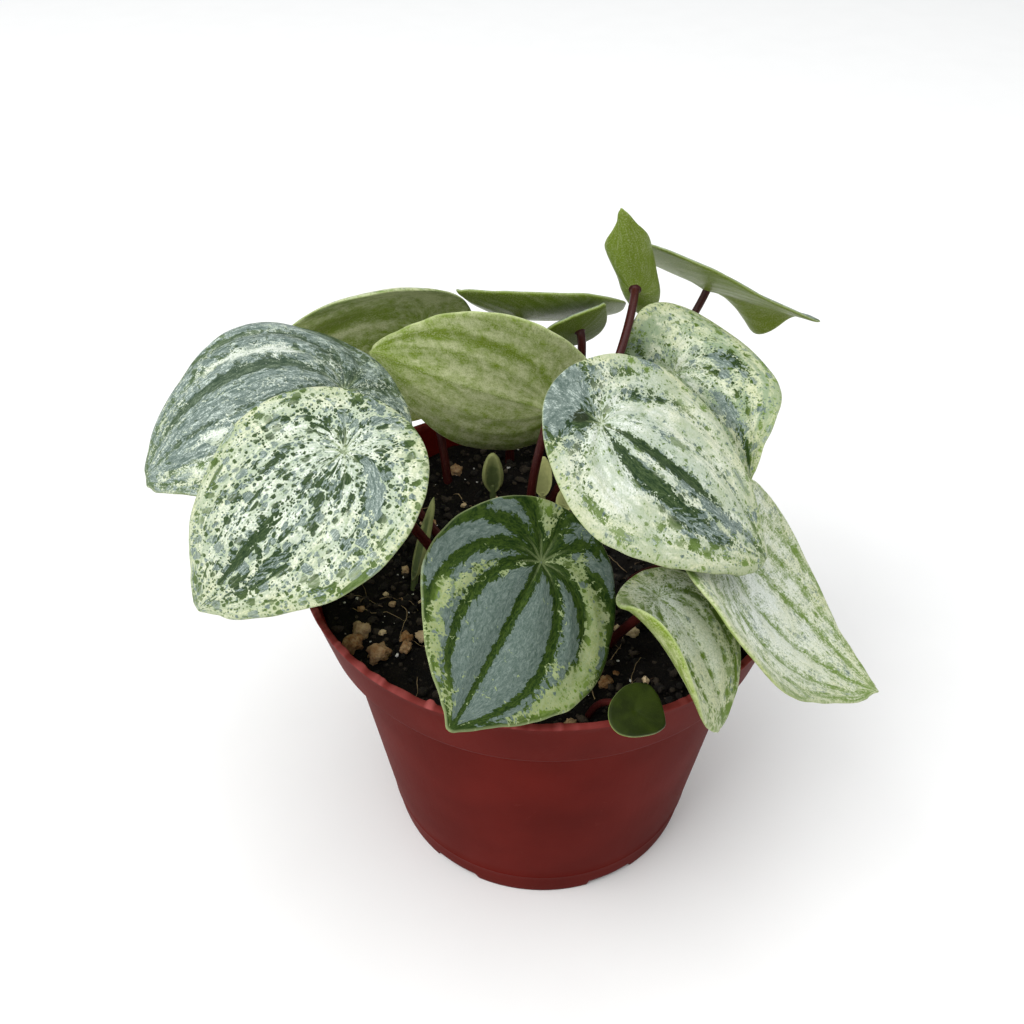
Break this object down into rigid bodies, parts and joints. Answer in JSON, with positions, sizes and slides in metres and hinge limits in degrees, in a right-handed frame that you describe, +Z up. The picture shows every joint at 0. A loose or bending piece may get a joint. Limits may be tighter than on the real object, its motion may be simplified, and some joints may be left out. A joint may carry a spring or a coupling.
{
  "type": "potted peperomia",
  "caption": "Round tapered plastic nursery pot filled with potting mix, holding a clump of shield-shaped variegated leaves on slender red stalks.",
  "frame": {"origin": "on the pot's axis, in the plane that its foot pads stand on; the underside of the pot's floor lies 1.2 mm above it", "axes": "+Z up along the pot's axis; -Y towards the side that the picture was taken from; +X to the right in that view"},
  "size_m": [0.1514, 0.1569, 0.137],
  "materials": {
    "pot_plastic": "satin",
    "potting_mix": "matte",
    "leaf_variegated": "satin",
    "leaf_silver": "satin",
    "leaf_olive": "satin",
    "leaf_plain_green": "satin",
    "young_leaf": "satin",
    "petiole_red": "satin"
  },
  "bodies": {
    "root": {"blade_left_front": "leaf_variegated", "blade_left_back": "leaf_silver", "blade_front": "leaf_silver", "blade_middle": "leaf_variegated", "blade_right_back": "leaf_variegated", "blade_right_front": "leaf_variegated", "blade_front_right": "leaf_variegated", "blade_rim": "leaf_plain_green", "blade_back_middle": "leaf_olive", "blade_back_left": "leaf_olive", "blade_back_high": "leaf_olive", "blade_back_small": "leaf_olive", "blade_top_folded": "leaf_olive", "blade_back_right": "leaf_olive", "petiole_left_front": "petiole_red", "petiole_left_back": "petiole_red", "petiole_front": "petiole_red", "petiole_middle": "petiole_red", "petiole_right_back": "petiole_red", "petiole_right_front": "petiole_red", "petiole_front_right": "petiole_red", "petiole_rim": "petiole_red", "petiole_back_middle": "petiole_red", "petiole_back_left": "petiole_red", "petiole_back_high": "petiole_red", "petiole_back_small": "petiole_red", "petiole_top_folded": "petiole_red", "petiole_back_right": "petiole_red", "sprout_back": "young_leaf", "sprout_middle": "young_leaf", "sprout_low": "young_leaf", "sprout_left": "young_leaf", "soil": "potting_mix", "pot": "pot_plastic"}
  },
  "joints": []
}
